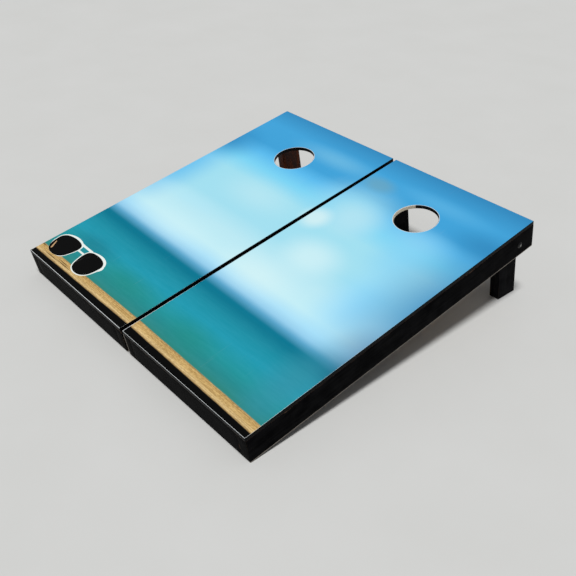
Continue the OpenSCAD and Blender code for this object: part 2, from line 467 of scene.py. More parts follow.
def black_paint(name="black_painted_wood", wear=1.0, lift=1.0, scuff_highlight_side=0):
    """Black paint with next to no shine: the grain shows through, and edges are rubbed. lift
    makes it paler and wear rubs more off. The last argument, -1 for a left rail and 1 for a
    right one, adds a thin pale line where the rail's outer lower corner has lost its paint,
    and on a left rail another up its front end; the line is partly scuffed paint and partly
    a painted highlight along the corner."""
    g = Graph(name)
    place = wood_place(g)
    bands, fibres = wood_figure(g, place)
    brushed = g.noise(place, 300.0, 3.0, 0.6, stretch=(1, 1, 0.03))
    patches = g.noise(place, 22.0, 3.0)
    worn = g.noise(place, 85.0, 4.0, 0.7, stretch=(1, 1, 0.3))
    stretches = g.noise(place, 7.0, 1.0)
    rubbed = g.times(edge_mask(g), g.smooth(worn, 0.5, 0.64))
    rubbed = g.times(rubbed, g.smooth(stretches, 0.42, 0.6, 0.1, wear))
    film = g.times_plus(brushed, 0.6, g.times(patches, 0.4))
    paint = g.mix(g.smooth(film, 0.3, 0.7), scaled((2, 2, 3), lift), scaled((21, 21, 22), lift))
    bare = g.mix(fibres, (58, 44, 35), (112, 92, 76))
    colour = g.mix(rubbed, paint, bare)
    if scuff_highlight_side:
        across, height, along = g.split(g.attribute("grain"))
        half_across, half_height, half_along = g.split(g.attribute("half_size"))
        outer = g.minus(half_across, g.times(across, scuff_highlight_side))
        from_corner = g.math("MAXIMUM", outer, g.plus(height, half_height))
        if scuff_highlight_side < 0:
            from_post = g.math("MAXIMUM", outer, g.plus(along, half_along))
            from_corner = g.math("MINIMUM", from_corner, from_post)
        ragged = g.times_plus(worn, SCUFF_HIGHLIGHT_RAGGED, from_corner)
        scuff_highlight = g.smooth(ragged, SCUFF_HIGHLIGHT_END, SCUFF_HIGHLIGHT_FULL, 0.0, 0.9)
        # the pale corner line: paint scuffed off, and a painted highlight along the corner
        colour = g.mix(scuff_highlight, colour, g.mix(fibres, (142, 134, 126), (188, 180, 170)))
    rough = g.plus(g.times_plus(brushed, 0.34, 0.26), g.times(rubbed, 0.3))
    height = g.plus(g.times(bands, 0.5), g.times(fibres, 0.7))
    height = g.minus(g.plus(height, brushed), g.times(rubbed, 0.8))
    normal = g.bump(height, 0.2 * MM, 1.0)
    return g.finish(colour, rough, normal, specular=0.004)


def stained_wood(name, dark, light):
    """Stained lumber with its growth bands and pores."""
    g = Graph(name)
    place = wood_place(g)
    bands, fibres = wood_figure(g, place)
    colour = g.mix(bands, dark, light)
    colour = g.mix(g.smooth(fibres, 0.5, 0.3, 0.0, 0.7), colour, scaled(dark, 0.45))
    rubbed = g.times(edge_mask(g, 3 * MM), g.smooth(g.noise(place, 60.0, 4.0, 0.7), 0.5, 0.65))
    colour = g.mix(g.times(rubbed, 0.6), colour, scaled(light, 1.9))
    rough = g.times_plus(bands, 0.14, 0.46)
    normal = g.bump(g.plus(bands, fibres), 0.15 * MM, 0.8)
    return g.finish(colour, rough, normal, specular=0.12)


def birch_face():
    """The sanded face of birch plywood, its grain along the board."""
    g = Graph("birch_face")
    place = wood_place(g)
    wander = g.noise(place, 5.0, 3.0, 0.6, stretch=(1, 1, 0.12))
    flame = g.noise(place, 26.0, 4.0, 0.6, stretch=(1, 1, 0.05))
    fibres = g.noise(place, 900.0, 2.0, 0.6, stretch=(1, 1, 0.02))
    colour = g.mix(g.smooth(wander, 0.3, 0.7), (214, 184, 142), (196, 160, 114))
    colour = g.mix(g.smooth(flame, 0.56, 0.72, 0.0, 0.6), colour, (170, 128, 84))
    colour = g.mix(g.smooth(fibres, 0.6, 0.72, 0.0, 0.35), colour, (140, 100, 64))
    rough = g.times_plus(fibres, 0.2, 0.5)
    normal = g.bump(g.plus(fibres, flame), 0.08 * MM, 0.7)
    return g.finish(colour, rough, normal, specular=0.3)


def ply_height(g):
    """How far through its ply a point is, 0 to 1, and which of two grain ways that ply has."""
    _, depth, _ = g.split(g.attribute("grain"))
    _, half, _ = g.split(g.attribute("half_size"))
    through = g.times_plus(g.math("DIVIDE", depth, half), PLY_COUNT / 2, PLY_COUNT / 2)
    return g.math("FRACT", through), g.math("FLOORED_MODULO", g.math("FLOOR", through), 2.0)


def cut_plywood(name, painted_from, painted_to):
    """The sawn wall of the target hole: plies that show long grain and end grain by turns
    round the hole, with a dark stretch. The stretch is where a point's direction from the
    hole's middle, as a share along the way given, passes the share given after it. On the
    right board it is painted shade, on the side of the wall turned from the light; on the
    left board it is black all round."""
    g = Graph(name)
    place = g.attribute("deck_place")
    facing = g.vector("NORMALIZE", g.vector("MULTIPLY", place, (1, 1, 0)))
    within, other_way = ply_height(g)
    x, _, _ = g.split(facing)
    end_grain = g.times(x, x)
    crossed = g.minus(1.0, end_grain)
    along = g.mix(other_way, end_grain, crossed)
    fine = g.noise(place, 800.0, 3.0, 0.6)
    colour = g.mix(along, (250, 244, 226), (234, 220, 192))
    colour = g.mix(g.smooth(fine, 0.5, 0.7, 0.0, 0.22), colour, (184, 156, 120))
    glue = g.smooth(g.math("ABSOLUTE", g.minus(within, 0.5)), 0.42, 0.5, 0.0, 0.5)
    colour = g.mix(glue, colour, (120, 88, 62))
    # the dark stretch: painted shade on the right board's wall, black all round on the left board's
    turned = g.vector("DOT_PRODUCT", facing, painted_from)
    ragged = g.plus(turned, g.times(g.noise(place, 90.0, 4.0), 0.06))
    painted = g.smooth(ragged, painted_to, painted_to + 0.05)
    colour = g.mix(painted, colour, (12, 11, 11))
    rough = g.times_plus(fine, 0.2, 0.5)
    height = g.minus(fine, g.times(glue, 0.8))
    return g.finish(colour, rough, g.bump(height, 0.12 * MM, 0.8), specular=0.25)


def painted_ply_edge():
    """Black paint over plywood's edge: its plies show as faint ridges, and the stain that
    was on it first shows along its lower corner, where the paint bridged the seam."""
    g = Graph("painted_ply_edge")
    place = wood_place(g)
    within, other_way = ply_height(g)
    patches = g.noise(place, 30.0, 3.0)
    fine = g.noise(place, 500.0, 3.0, 0.65)
    colour = g.mix(patches, (2, 2, 3), (12, 12, 13))
    _, _, depth = g.split(g.attribute("deck_place"))
    seam = g.smooth(g.plus(depth, g.times(patches, 0.8 * MM)), 1.5 * MM, 1.0 * MM)
    colour = g.mix(seam, colour, (74, 40, 24))
    ridge = g.times(other_way, g.smooth(within, 0.0, 0.15))
    height = g.plus(g.times(ridge, 0.9), g.times(fine, 0.8))
    rough = g.times_plus(patches, 0.25, 0.3)
    return g.finish(colour, rough, g.bump(height, 0.15 * MM, 1.0), specular=0.05)


def zinc():
    """Bright zinc plate, a little clouded and scratched."""
    g = Graph("zinc_plated_steel")
    place = g.node("ShaderNodeTexCoord").outputs["Object"]
    clouds = g.noise(place, 160.0, 3.0)
    fine = g.noise(place, 2200.0, 2.0, 0.6, stretch=(0.15, 1, 1))
    colour = g.mix(clouds, (176, 176, 170), (206, 206, 204))
    colour = g.mix(g.smooth(clouds, 0.58, 0.75, 0.0, 0.35), colour, (196, 184, 150))
    rough = g.plus(g.times_plus(clouds, 0.22, 0.18), g.times(fine, 0.1))
    return g.finish(colour, rough, g.bump(fine, 0.02 * MM, 0.6), metallic=1.0)


def painted_head():
    """A bolt head painted with the rail it sits on, rubbed back to zinc on its crown."""
    g = Graph("painted_bolt_head")
    crown = g.vector("LENGTH", g.attribute("crown_place"))
    spots = g.noise(g.attribute("crown_place"), 420.0, 3.0, 0.6)
    bare = g.smooth(g.plus(crown, g.times(spots, 3.2 * MM)), 7.0 * MM, 4.4 * MM)
    colour = g.mix(bare, (12, 12, 13), (142, 142, 138))
    rough = g.plus(0.4, g.times(bare, 0.14))
    return g.finish(colour, rough, g.bump(spots, 0.05 * MM, 0.7), 0.3, bare)


def vinyl(name, paint):
    """Satin laminated vinyl: paint(g, place) gives the printed colour at a place, x across
    the pair and y up the slope."""
    g = Graph(name)
    place = g.attribute("print_place")
    tooth = g.noise(place, 1100.0, 3.0, 0.65)
    waves = g.noise(place, 11.0, 3.0, stretch=(1, 0.35, 1))
    slid = g.noise(place, 60.0, 5.0, 0.7, stretch=(3, 0.06, 1))
    scuffs = g.times(g.smooth(slid, 0.6, 0.72), g.smooth(waves, 0.5, 0.62, 0.0, 0.1))
    colour = g.mix(g.smooth(tooth, 0.35, 0.65), (181, 181, 181), (195, 195, 195))
    colour = g.mix(0.5, paint(g, place), colour, "OVERLAY")
    colour = g.mix(scuffs, colour, (226, 230, 232))
    rough = g.times_plus(tooth, 0.16, g.times_plus(waves, 0.1, 0.32))
    rough = g.plus(rough, scuffs)
    normal = g.bump(waves, 0.5 * MM, 0.25)
    normal = g.bump(tooth, 0.02 * MM, 0.6, normal)
    return g.finish(colour, rough, normal, specular=0.07)


# The printed scene: sea, a soft horizon and a clouded sky. Each stop is a distance up the
# slope in millimetres and a display colour.
SCENE = [
    (0, (40, 130, 120)), (66, (48, 134, 126)), (100, (32, 136, 136)), (135, (28, 149, 154)),
    (200, (24, 155, 178)), (250, (16, 143, 165)), (300, (2, 118, 143)), (318, (4, 118, 145)),
    (345, (92, 166, 203)), (365, (150, 206, 236)), (395, (174, 226, 248)), (440, (196, 238, 246)),
    (530, (188, 233, 243)), (620, (164, 224, 240)), (780, (162, 224, 240)), (860, (124, 212, 244)),
    (930, (92, 188, 238)), (985, (64, 162, 216)), (1110, (66, 164, 218)), (1215, (52, 138, 190)),
]
# The plank along the front edge, in the same way, up to where the sea starts.
PLANK = [(0, (4, 4, 4)), (25, (4, 4, 4)), (28, (160, 132, 90)), (33, (232, 204, 150)),
         (42, (206, 172, 110)), (52, (198, 160, 96)), (62, (160, 126, 78))]
# Soft patches of the print: middle (across the pair, up the slope), reach both ways, display
# colour, strength, and the share of its reach that a patch fills before it fades, if any.
PATCHES = [
    ((-650, 700), (190, 400), (84, 186, 240), 0.8),
    ((-670, 930), (240, 160), (44, 134, 188), 0.95),
    ((-170, 1080), (280, 70), (108, 186, 226), 0.8),
    ((-330, 430), (300, 90), (206, 242, 248), 0.6),
    ((-230, 740), (250, 120), (186, 232, 242), 0.7),
    ((-420, 560), (300, 60), (180, 232, 246), 0.5),
    ((100, 900), (260, 190), (160, 222, 240), 0.9),
    ((150, 850), (150, 130), (190, 232, 242), 0.6, 0.1),
    ((40, 780), (80, 80), (216, 242, 244), 0.8, 0.2),
    ((190, 620), (170, 130), (210, 242, 246), 0.8, 0.1),
    ((120, 450), (240, 110), (216, 244, 246), 0.6),
    ((480, 560), (170, 260), (136, 214, 252), 0.7),
    ((420, 790), (150, 150), (128, 208, 244), 0.6),
    ((690, 690), (300, 570), (62, 140, 190), 0.95),
    ((690, 420), (200, 150), (84, 130, 170), 0.85),
    ((700, 325), (210, 100), (16, 84, 104), 0.8),
    ((75, 1060), (100, 60), (108, 166, 190), 0.7, 0.2),
    ((340, 1095), (260, 60), (90, 178, 226), 0.7),
    ((600, 1010), (200, 90), (44, 130, 182), 0.6),
    ((400, 900), (180, 110), (150, 214, 242), 0.5),
    ((-450, 170), (190, 70), (8, 112, 132), 0.6),
    ((-170, 130), (220, 80), (28, 138, 122), 0.6),
    ((190, 120), (170, 90), (26, 138, 124), 0.6),
    ((560, 200), (130, 260), (52, 146, 166), 0.7),
    # painted shade: a dark strip down the left sheet's edge beside the gap, darkening the gap between
    # the boards
    ((-6, 480), (4.5, 640), (6, 8, 10), 1.0, 0.7),
]
# Middles and reaches of the dark lines on the plank beside and under the sunglasses.
SHADES = [((-440, 39), (66, 3.5)), ((-452, 46), (44, 2.5)),
          ((-606, 54), (22, 3)), ((-520, 36), (60, 3))]
# How far the horizon climbs, and the plank's edge bows up, for a distance across the pair.
HORIZON_LEAN = 0.015
PLANK_BOW = 0.012


def soft_patch(g, place, middle, reach, strength, full=0.0):
    """Strength inside an ellipse, fading to nothing from the share full of its reach."""
    away = g.vector("SUBTRACT", place, (middle[0] * MM, middle[1] * MM, 0))
    away = g.vector("MULTIPLY", away, (1 / (reach[0] * MM), 1 / (reach[1] * MM), 0))
    return g.smooth(g.vector("LENGTH", away), 1.0, full, 0.0, strength)


def printed_scene(g, place):
    """The whole print over both boards, but for the sunglasses."""
    x, y, _ = g.split(place)
    drift = g.noise(place, 14.0, 3.0, stretch=(1, 0.1, 1))
    lean = g.times(x, g.smooth(y, 100 * MM, 300 * MM, 0.0, HORIZON_LEAN))
    bow = g.minus(g.math("ABSOLUTE", x), 300 * MM)
    bow = g.times(bow, g.smooth(y, 200 * MM, 80 * MM, 0.0, PLANK_BOW))
    height = g.plus(y, g.times_plus(drift, 3 * MM, -1.5 * MM))
    height = g.plus(height, g.plus(lean, bow))
    stops = [(at * MM / DECK_LENGTH, colour) for at, colour in SCENE]
    colour = g.ramp(g.math("DIVIDE", height, DECK_LENGTH), stops)
    for middle, reach, tint, *strength in PATCHES:
        colour = g.mix(soft_patch(g, place, middle, reach, *strength), colour, tint)
    swell = g.noise(place, 30.0, 4.0, 0.6, stretch=(0.4, 3, 1))
    sea = g.times(g.smooth(y, 66 * MM, 80 * MM), g.smooth(y, 330 * MM, 250 * MM))
    colour = g.mix(g.times(sea, 0.16), colour, g.mix(swell, (20, 110, 120), (90, 180, 200)))
    return g.mix(g.smooth(height, 64 * MM, 59 * MM), colour, printed_plank(g, place, height))


def printed_plank(g, place, height):
    """The printed plank: streaks and grains, with a few dark lines in the glasses' shade."""
    width = PLANK[-1][0] * MM
    stops = [(at * MM / width, colour) for at, colour in PLANK]
    colour = g.ramp(g.math("DIVIDE", height, width), stops)
    streaks = g.noise(place, 60.0, 4.0, 0.65, stretch=(0.14, 6, 1))
    grains = g.noise(place, 400.0, 3.0, 0.7, stretch=(0.22, 1, 1))
    figure = g.times_plus(streaks, 0.5, g.times(grains, 0.5))
    grain = g.mix(g.smooth(figure, 0.41, 0.6), (128, 94, 48), (240, 206, 140))
    colour = g.mix(g.smooth(height, 24 * MM, 30 * MM, 0.0, 0.5), colour, grain)
    for middle, reach in SHADES:
        colour = g.mix(soft_patch(g, place, middle, reach, 0.85, 0.2), colour, (70, 50, 30))
    return colour


def plain_print(*display):
    """One printed colour, a little uneven."""
    return lambda g, place: g.mix(g.noise(place, 40.0, 2.0), display, scaled(display, 0.97))


# ---- wooden pieces ----

EASED = 2.5 * MM
END_R = 0.9 * MM
# Distances between vertices round a length of lumber and along it, and over a leg.
SIDE_STEP = 11 * MM
RING_STEP = 24 * MM
LEG_STEP = 12 * MM
BOLT_CLEARANCE = 0.1 * MM
DECK_CORNER = 2 * MM
DECK_EDGE_LOW, DECK_EDGE_HIGH = 0.7 * MM, 0.9 * MM
HOLE_STEPS = 160
DECK_LOW, DECK_HIGH = place_box("left", "deck_panel")
DECK_LENGTH = DECK_HIGH.y - DECK_LOW.y
HOLE_AT = PLACE["left"].inverted() @ Vector(MOUNTS["left_target_hole"]["pos_m"])

POCKET_ANGLE = math.radians(15)
POCKET_R = 4.75 * MM
POCKET_DEPTH = 30 * MM


def lumber(low, high, along, seed):
    """A length of lumber with eased long edges and slightly rounded ends."""
    i, j, k = ("xyz".index(a) for a in GRAIN_AXES[along])
    outline = divided(rounded_rectangle((low[i], low[j]), (high[i], high[j]), EASED), SIDE_STEP)
    profile = edge_profile(low[k], high[k], END_R, END_R, round((high[k] - low[k]) / RING_STEP), 3)
    bm = prism(outline, profile, GRAIN_AXES[along])
    dent(bm, seed)
    return bm


def pocket_cutters(low, high, open_way):
    """Cylinders for a cross rail's four screw pockets, on the side that open_way points to."""
    height, middle = high.z - low.z, (low.y + high.y) / 2
    length = (high.y - low.y) / math.sin(POCKET_ANGLE)
    bm = bmesh.new()
    for way in (-1, 1):
        for z in (low.z + height / 4, low.z + height * 3 / 4):
            back = Vector((-way * math.cos(POCKET_ANGLE), open_way * math.sin(POCKET_ANGLE), 0))
            start = Vector((way * high.x, middle, z)) + back * POCKET_DEPTH
            turn = back.to_track_quat("Z", "Y").to_matrix().to_4x4()
            matrix = Matrix.Translation(start + back * length / 2) @ turn
            bmesh.ops.create_cone(bm, cap_ends=True, segments=32, radius1=POCKET_R, radius2=POCKET_R,
                                  depth=length, matrix=matrix)
    return bm


def cut_away(bm, cutter):
    """bm with cutter's solids taken out of it; the faces they leave have material 1."""
    objects = []
    for name, source, index in (("whole", bm, 0), ("cutter", cutter, 1)):
        for face in source.faces:
            face.material_index = index
        mesh = bpy.data.meshes.new(name)
        source.to_mesh(mesh)
        source.free()
        mesh.materials.append(None)
        mesh.materials.append(None)
        objects.append(new_object(name, mesh))
    whole, tool = objects
    modifier = whole.modifiers.new("cut", "BOOLEAN")
    modifier.operation, modifier.solver, modifier.object = "DIFFERENCE", "EXACT", tool
    modifier.material_mode = "INDEX"
    out = modified(whole)
    for obj in objects:
        bpy.data.meshes.remove(obj.data)
    return out


def side_rail(board, flank, seed):
    """A long rail down one side of the frame."""
    low, high = place_box(board, f"{flank}_rail")
    paint = LEFT_RAIL_BLACK if flank_way(board, flank) < 0 else RIGHT_RAIL_BLACK
    bm = lumber(low, high, "y", seed)
    obj = piece(board, f"{flank}_rail_lumber", bm, f"{flank}_rail", [paint])
    mark_grain(obj, low, high, "y", seed)


def cross_rail(board, part, seed):
    """A rail across the frame, with its screw pockets cut in the side away from view."""
    low, high = place_box(board, part)
    open_way = -1 if part == "rear_rail" else 1
    bm = cut_away(lumber(low, high, "x", seed), pocket_cutters(low, high, open_way))
    obj = piece(board, f"{part}_lumber", bm, part, [BLACK, PINE])
    mark_grain(obj, low, high, "x", seed)


def leg(board, flank, seed, material):
    """A folding leg: a level foot, a round top over its pivot, and a bore for its bolt."""
    low, high = place_box(board, f"{flank}_leg")
    radius = (high.y - low.y) / 2
    pivot = ((low.y + high.y) / 2, high.z - radius)
    foot = [Vector((y, -y * math.tan(TILT))) for y in (low.y, high.y)]
    outline = divided(foot + arc(pivot, radius, 0, 180, 30), LEG_STEP)
    profile = edge_profile(low.x, high.x, EASED, EASED, 3)
    bolt_hole = circle(pivot, BOLT_R + BOLT_CLEARANCE, BOLT_STEPS)
    bm = prism(outline, profile, "yzx", [bolt_hole], LEG_STEP)
    dent(bm, seed)
    obj = piece(board, f"{flank}_leg_lumber", bm, f"{flank}_leg", [material], f"{flank}_leg")
    mark_grain(obj, low, high, "z", seed)


def deck(board, wall):
    """The plywood deck: painted edges and margin, bare underside, sawn hole."""
    low, high = place_box(board, "deck_panel")
    outline = divided(rounded_rectangle(low, high, DECK_CORNER, 5), 30 * MM)
    hole = circle((0, HOLE_AT.y), HOLE_R, HOLE_STEPS)
    profile = edge_profile(low.z, high.z, DECK_EDGE_LOW, DECK_EDGE_HIGH, 2 * PLY_COUNT - 1, 3)
    bm = prism(outline, profile, "xyz", [hole])
    carve_plies(bm, low.z, high.z)
    obj = piece(board, "deck_plywood", bm, "deck_panel", [BIRCH, PLY_EDGE, wall])
    middle = Vector((0, HOLE_AT.y))

    def choose(centre, normal):
        if (Vector(centre[:2]) - middle).length < HOLE_R + DECK_EDGE_HIGH:
            return 2
        return 0 if normal.z < -0.9 else 1

    set_materials(obj, choose)
    mark_grain(obj, low, high, "y", 3 * BOARDS[board])
    spots = [(v.co.x, v.co.y - HOLE_AT.y, v.co.z - low.z) for v in obj.data.vertices]
    add_attribute(obj, "deck_place", spots)


def carve_plies(bm, low, high):
    """Presses every other ply of the panel's walls in by a hair, as a saw leaves them."""
    bm.normal_update()
    for vertex in bm.verts:
        share = (vertex.co.z - low) / (high - low) * PLY_COUNT
        upright = abs(vertex.normal.z) < 0.2
        if upright and int(share) % 2:
            vertex.co -= vertex.normal * PLY_RELIEF


# ---- vinyl ----

# The order of a sheet's materials; where two of the print's shapes overlap, the later wins.
MARGIN, PRINT, WHITE, DARK, TAN = range(5)
RING_MARGIN = 1.4 * MM
SHEET_LIP = 0.12 * MM
SHEET_CORNER = 2 * MM
# How wide the unprinted margin is inside a sheet's trimmed edge, in millimetres: at the front
# edge, and at the front ends of the left and right edges. Up the left and right edges the
# margin narrows until it all but runs out toward the rear.
MARGINS = {"left": (1.5, 0.25, 0.25), "right": (0.9, 1.6, 0.8)}
LEAST_MARGIN = 0.15 * MM

# Sunglasses lying on the plank of the left print, in millimetres from the bridge's middle
# line and up the slope: one lens, whose mirror image, a little stretched, is the other.
LENS = [(23, 126), (31, 139), (51, 146), (81, 147.5), (111, 142), (128, 132), (136, 118), (135, 96),
        (130, 73), (118, 57), (98, 47), (72, 45.5), (49, 53), (35, 67), (28, 86), (23, 106)]
LEFT_LENS_STRETCH = 1.10
LEFT_LENS_SHIFT = 4
# Where the bridge's middle line is, from the left board's left edge.
BRIDGE_X = 162


def smooth_loop(points, steps=5):
    """A closed curve through points."""
    out = []
    count = len(points)
    for i in range(count):
        a, b, c, d = (Vector(points[(i + k - 1) % count]) for k in range(4))
        for step in range(steps):
            t = step / steps
            out.append(0.5 * (2 * b + (c - a) * t + (2 * a - 5 * b + 4 * c - d) * t * t
                              + (3 * b - a - 3 * c + d) * t ** 3))
    return out


def rim_of(lens, thin, thick, lean, hidden):
    """The outside of a lens's rim: thick where it faces lean, next to nothing where it faces
    hidden, thin elsewhere."""
    middle = sum(lens, Vector((0, 0))) / len(lens)
    out = []
    for before, point, after in zip(lens[-1:] + lens[:-1], lens, lens[1:] + lens[:1]):
        along = (after - before).normalized()
        facing = (point - middle).normalized()
        width = thin + (thick - thin) * max(0.0, facing.dot(Vector(lean))) ** 1.5
        shown = min(1.0, max(0.05, (0.75 - facing.dot(Vector(hidden))) * 4))
        out.append(point + Vector((along.y, -along.x)) * width * shown)
    return out


def glasses():
    """Outlines of the printed sunglasses, in the board's own place, by material."""
    right = smooth_loop(LENS)[::-1]
    left = [Vector((LEFT_LENS_SHIFT - p.x * LEFT_LENS_STRETCH, p.y)) for p in right[::-1]]
    right_rim = rim_of(right, 4.4, 10.0, (0.6, 0.8), (0, 0))
    left_rim = rim_of(left, 3.4, 9.0, (0.1, 0.99), (-0.35, -0.94))
    brow_bar = ((-34, 139), (-16, 140), (16, 140), (34, 139),
                (34, 149), (16, 149), (-16, 149), (-36, 150))
    nose_bar = ((-27, 113), (-12, 114), (12, 114), (27, 113),
                (26, 122), (9, 121.5), (-9, 121.5), (-26, 122))
    hinge = ((136, 130), (136, 96), (142, 99), (147, 106), (149, 114), (147, 122), (142, 128))
    glint = ((-135, 93), (-131, 94), (-112, 65), (-113, 58), (-118, 60))
    rims = (left_rim, right_rim, brow_bar, nose_bar, hinge)
    corner = Vector((DECK_LOW.x, DECK_LOW.y))
    shapes = {DARK: (left, right), WHITE: rims, TAN: (glint,)}
    return {index: [[(Vector(p) + Vector((BRIDGE_X, 0))) * MM + corner for p in loop] for loop in loops]
            for index, loops in shapes.items()}


def margin_line(board, low, high):
    """Where a sheet's print starts."""
    front, left, right = (m * MM for m in MARGINS[board])
    fade = (high.y - low.y) * 0.3
    turn, centre_y = SHEET_CORNER - LEAST_MARGIN, high.y - SHEET_CORNER
    start = [Vector((low.x + left, low.y + front)), Vector((high.x - right, low.y + front)),
             Vector((high.x - LEAST_MARGIN, low.y + 2 * fade))]
    rear_right = arc((high.x - SHEET_CORNER, centre_y), turn, 0, 90, 5)
    rear_left = arc((low.x + SHEET_CORNER, centre_y), turn, 90, 180, 5)
    return start + rear_right + rear_left + [Vector((low.x + LEAST_MARGIN, low.y + fade))]


def vinyl_sheet(board, materials):
    """The printed sheet, with its unprinted margin and shapes as faces of their own."""
    low, high = place_box(board, "deck_graphic")
    outline = divided(rounded_rectangle(low, high, SHEET_CORNER, 5), 40 * MM)
    hole = circle((0, HOLE_AT.y), HOLE_R + (low.x - DECK_LOW.x), HOLE_STEPS)
    bm = prism(outline, edge_profile(low.z, high.z, 0.0, SHEET_LIP, 0, 3), "xyz", [hole])
    top = [f for f in bm.faces if f.normal.z > 0.99 and f.calc_center_median().z > high.z - 1e-6]
    bmesh.ops.delete(bm, geom=top, context="FACES_ONLY")
    for face in bm.faces:
        face.material_index = MARGIN if face.calc_center_median().y < low.y + MM else PRINT
    edge = moved_in(outline, SHEET_LIP)
    hole_edge = moved_in(hole, -SHEET_LIP)
    inner, hole_inner = margin_line(board, low, high), moved_in(hole_edge, -RING_MARGIN)
    shapes = glasses() if board == "left" else {}
    loops = [edge, hole_edge, inner, hole_inner] + [loop for drawn in shapes.values() for loop in drawn]
    points, faces = triangulated(loops)
    centres = middle_of(points, faces)
    index_of = np.where(inside(centres, inner) & ~inside(centres, hole_inner), PRINT, MARGIN)
    for index, drawn in sorted(shapes.items()):
        for loop in drawn:
            index_of[inside(centres, loop) & (index_of != MARGIN)] = index
    keep = inside(centres, edge) & ~inside(centres, hole_edge)
    verts = [bm.verts.new((p.x, p.y, high.z)) for p in points]
    for face, index, kept in zip(faces, index_of, keep):
        if kept:
            made = bm.faces.new([verts[i] for i in face])
            made.material_index = int(index)
    bmesh.ops.remove_doubles(bm, verts=bm.verts, dist=2e-6)
    bmesh.ops.recalc_face_normals(bm, faces=bm.faces)
    obj = piece(board, "printed_sheet", bm, "deck_graphic", materials)
    middle_x = PLACE[board].translation.x
    spots = [(v.co.x + middle_x, v.co.y, 0) for v in obj.data.vertices]
    add_attribute(obj, "print_place", spots)


# ---- hardware ----

BOLT_R = 9.525 / 2 * MM
BOLT_STEPS = 32
THREAD_PITCH = 25.4 / 16 * MM
THREAD_DEPTH = 0.9 * MM
THREAD_LENGTH = 24 * MM
ROWS_A_TURN = 10
TIP_CHAMFER = 1.2 * MM
NECK_H = 5.6 * MM
WASHER_CLEARANCE = 0.2 * MM
CASTING_VOXEL = 0.55 * MM


def turned(bm, matrix):
    """The same bmesh, moved and turned by a matrix."""
    bm.transform(matrix)
    return bm


def bolt_axis(board, flank, x):
    """The matrix that lays a piece drawn along z on a leg's bolt, its z pointing outward."""
    low, high = place_box(board, f"{flank}_carriage_bolt")
    way = flank_way(board, flank)
    turn = Vector((way, 0, 0)).to_track_quat("Z", "Y").to_matrix().to_4x4()
    return Matrix.Translation((x, (low.y + high.y) / 2, (low.z + high.z) / 2)) @ turn


def threaded_end(bm, tip, end):
    """A helical thread about z from tip up to end, with a chamfered tip."""
    rows = round((end - tip) / THREAD_PITCH * ROWS_A_TURN)
    rings = []
    for row in range(rows + 1):
        z = tip + (end - tip) * row / rows
        chamfer = max(0.0, TIP_CHAMFER - (z - tip))
        ring = []
        for i in range(BOLT_STEPS):
            phase = (z / THREAD_PITCH - i / BOLT_STEPS) % 1
            groove = THREAD_DEPTH * abs(2 * phase - 1) * min(1.0, (end - z) / THREAD_PITCH)
            radius = min(BOLT_R - groove, BOLT_R - chamfer)
            ring.append(bm.verts.new((*circle((0, 0), radius, BOLT_STEPS)[i], z)))
        rings.append(ring)
    for lower, upper in zip(rings, rings[1:]):
        bridge(bm, lower, upper)
    bm.faces.new(rings[0])
    return rings[-1]


def carriage_bolt(board, flank):
    """A domed head, square neck, plain shank and threaded end."""
    low, high = place_box(board, f"{flank}_carriage_bolt")
    way = flank_way(board, flank)
    rail_low, rail_high = place_box(board, f"{flank}_rail")
    face = rail_high.x if way > 0 else rail_low.x
    dome_h = abs((high.x if way > 0 else low.x) - face)
    head_r = (high.y - low.y) / 2
    tip = -((high.x - low.x) - dome_h)
    sphere_r = (head_r ** 2 + dome_h ** 2) / (2 * dome_h)
    reach = math.asin(min(1.0, (head_r - 0.3 * MM) / sphere_r))
    dome = [(sphere_r * math.sin(reach * i / 10), dome_h - sphere_r * (1 - math.cos(reach * i / 10)))
            for i in range(11)]
    rim = [(head_r, 0.25 * MM), (head_r - 0.15 * MM, 0), (BOLT_R, 0), (0, 0)]
    bm = lathe([(0, dome_h)] + dome[1:] + rim)
    end_ring = threaded_end(bm, tip, tip + THREAD_LENGTH)
    sunk = dome_h / 3
    shank = [bm.verts.new((*p, sunk)) for p in circle((0, 0), BOLT_R, BOLT_STEPS)]
    bridge(bm, end_ring, shank)
    bm.faces.new(shank)
    bmesh.ops.create_cube(bm, size=1, matrix=Matrix.Translation((0, 0, (sunk - NECK_H) / 2))
                          @ Matrix.Diagonal((2 * BOLT_R, 2 * BOLT_R, NECK_H + sunk, 1)))
    bmesh.ops.recalc_face_normals(bm, faces=bm.faces)
    spots = [(v.co.x, v.co.y, 0) for v in bm.verts]
    bm = turned(bm, bolt_axis(board, flank, face))
    obj = piece(board, f"{flank}_bolt_steel", bm, f"{flank}_carriage_bolt", [ZINC, HEAD], smooth=30)
    add_attribute(obj, "crown_place", spots)
    set_materials(obj, lambda centre, normal: 1 if (centre.x - face) * way > 0.1 * MM else 0)


def washer(board, flank, part, body, spread):
    """A punched washer, turned by spread: one face with rolled edges, the other crisp."""
    low, high = place_box(board, f"{flank}_{part}")
    outer, inner, thick = (high.y - low.y) / 2, BOLT_R + WASHER_CLEARANCE, high.x - low.x
    roll, burr = 0.45 * MM, 0.1 * MM

    def rolled(edge, way, turn):
        return edge - way * roll * (1 - math.cos(turn)), thick - roll * (1 - math.sin(turn))

    profile = [(inner + burr, 0), (outer - burr, 0), (outer, burr), (outer, thick - roll)]
    profile += [rolled(outer, 1, t) for t in (0.5, 1.1, 1.57)]
    profile += [rolled(inner, -1, math.pi / 2 - t) for t in (0.0, 0.5, 1.1)]
    profile += [(inner, thick - roll), (inner, burr)]
    x = low.x if flank_way(board, flank) > 0 else high.x
    matrix = bolt_axis(board, flank, x) @ Matrix.Rotation(spread, 4, "Z")
    bm = turned(lathe(profile, 64), matrix)
    piece(board, f"{flank}_{part}_steel", bm, f"{flank}_{part}", [ZINC], body, 40)


